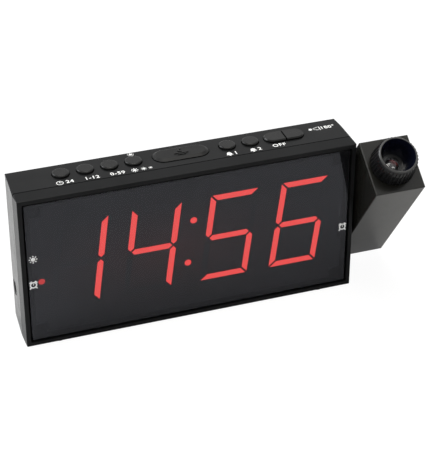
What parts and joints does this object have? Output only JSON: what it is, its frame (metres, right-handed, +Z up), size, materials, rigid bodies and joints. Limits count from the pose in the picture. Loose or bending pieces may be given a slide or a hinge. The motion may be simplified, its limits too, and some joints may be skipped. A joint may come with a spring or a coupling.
{
  "type": "projection alarm clock",
  "caption": "Slim LED alarm clock with a smoked window, a row of keys on top, and a tilting projector arm on a hollow side pivot with a knurled focus ring.",
  "frame": {"origin": "on the plane that the feet stand on, under the middle of the whole clock with its arm as shown, which is the bottom centre of its bounding box", "axes": "+X to the viewer's right along the case and the pivot's axis, -Y out of the display, +Z up"},
  "size_m": [0.1886, 0.0676, 0.0853],
  "materials": {
    "case_plastic": "fine moulded texture, satin black",
    "key_plastic": "smooth satin black",
    "ring_plastic": "satin black, glossy funnel",
    "window_acrylic": "polished smoked acrylic",
    "mask_plastic": "matte black",
    "red_diffuser": "translucent red",
    "led_resin": "clear resin",
    "circuit_board": "green solder mask",
    "switch_plastic": "black moulding",
    "steel": "zinc plated",
    "brass": "rolled sheet",
    "rubber": "matte",
    "acetal": "smooth, self-lubricating",
    "shaft_plastic": "smooth moulding",
    "lead_cover": "smooth sleeve",
    "ribbon_film": "polyimide film",
    "lens_glass": "polished, coated",
    "lcd_glass": "polarising film on glass"
  },
  "bodies": {
    "case": {"front_frame": "case_plastic", "display_window": "window_acrylic", "segment_mask": "mask_plastic", "digit_1": "red_diffuser", "digit_2": "red_diffuser", "digit_3": "red_diffuser", "digit_4": "red_diffuser", "colon_dots": "red_diffuser", "indicator_dots": "red_diffuser", "display_leds": "led_resin", "display_board": "circuit_board", "clock_chip": "mask_plastic", "rear_shell": "case_plastic", "key_board": "circuit_board", "tact_switches": "switch_plastic", "board_ribbon": "ribbon_film", "buzzer": "mask_plastic", "dc_jack": "mask_plastic", "coin_cell": "steel", "battery_contacts": "brass", "inner_wires": "lead_cover", "case_screws": "steel", "board_screws": "steel", "feet": "rubber", "pivot_bush": "acetal", "projector_lead": "lead_cover"},
    "battery_door": {"battery_door": "case_plastic"},
    "arm": {"arm_front_half": "case_plastic", "arm_rear_half": "case_plastic", "arm_screws": "steel", "pivot_shaft": "shaft_plastic", "pivot_spring": "steel", "pivot_clip": "steel", "led_board": "circuit_board", "projector_led": "led_resin", "condenser_lens": "lens_glass", "optics_tube": "mask_plastic", "lcd_panel": "lcd_glass", "lcd_ribbon": "ribbon_film", "arm_lead": "lead_cover"},
    "focus_ring": {"focus_ring": "ring_plastic"},
    "lens_unit": {"lens_barrel": "mask_plastic", "projection_lens": "lens_glass", "lens_retainer": "mask_plastic"},
    "key_time": {"key_time": "key_plastic"},
    "key_hour": {"key_hour": "key_plastic"},
    "key_minute": {"key_minute": "key_plastic"},
    "key_dimmer": {"key_dimmer": "key_plastic"},
    "key_snooze": {"key_snooze": "key_plastic"},
    "key_alarm_1": {"key_alarm_1": "key_plastic"},
    "key_alarm_2": {"key_alarm_2": "key_plastic"},
    "key_off": {"key_off": "key_plastic"},
    "key_projection": {"key_projection": "key_plastic"}
  },
  "joints": [
    {"name": "arm_tilt", "type": "hinge", "parent": "case", "child": "arm", "pos_m": [-0.0129, 0.00457, 0.0367], "axis": [1, 0, 0], "range_deg": [-125.2, 54.8]},
    {"name": "focus_turn", "type": "hinge", "parent": "arm", "child": "focus_ring", "pos_m": [0.0818, -0.01993, 0.07143], "axis": [0, -0.5764, 0.8171], "range_deg": [-135, 135]},
    {"name": "lens_slide", "type": "slide", "parent": "arm", "child": "lens_unit", "axis": [0, -0.5764, 0.8171], "range_m": [-0.0015, 0.0015]},
    {"name": "time_press", "type": "slide", "parent": "case", "child": "key_time", "axis": [0, 0, -1], "range_m": [0, 0.0008], "stiffness_N_per_m": 500, "springref_m": -0.001},
    {"name": "hour_press", "type": "slide", "parent": "case", "child": "key_hour", "axis": [0, 0, -1], "range_m": [0, 0.0008], "stiffness_N_per_m": 500, "springref_m": -0.001},
    {"name": "minute_press", "type": "slide", "parent": "case", "child": "key_minute", "axis": [0, 0, -1], "range_m": [0, 0.0008], "stiffness_N_per_m": 500, "springref_m": -0.001},
    {"name": "dimmer_press", "type": "slide", "parent": "case", "child": "key_dimmer", "axis": [0, 0, -1], "range_m": [0, 0.0008], "stiffness_N_per_m": 500, "springref_m": -0.001},
    {"name": "snooze_press", "type": "slide", "parent": "case", "child": "key_snooze", "axis": [0, 0, -1], "range_m": [0, 0.0008], "stiffness_N_per_m": 500, "springref_m": -0.001},
    {"name": "alarm_1_press", "type": "slide", "parent": "case", "child": "key_alarm_1", "axis": [0, 0, -1], "range_m": [0, 0.0008], "stiffness_N_per_m": 500, "springref_m": -0.001},
    {"name": "alarm_2_press", "type": "slide", "parent": "case", "child": "key_alarm_2", "axis": [0, 0, -1], "range_m": [0, 0.0008], "stiffness_N_per_m": 500, "springref_m": -0.001},
    {"name": "off_press", "type": "slide", "parent": "case", "child": "key_off", "axis": [0, 0, -1], "range_m": [0, 0.0008], "stiffness_N_per_m": 500, "springref_m": -0.001},
    {"name": "projection_press", "type": "slide", "parent": "case", "child": "key_projection", "axis": [0, 0, -1], "range_m": [0, 0.0008], "stiffness_N_per_m": 500, "springref_m": -0.001},
    {"name": "battery_door_turn", "type": "hinge", "parent": "case", "child": "battery_door", "pos_m": [-0.0509, 0.01742, 0.0326], "axis": [0, 1, 0], "range_deg": [0, 45]}
  ],
  "couplings": [
    {"joint": "focus_turn", "follows": "lens_slide", "rad_per_m": 1570.8}
  ]
}
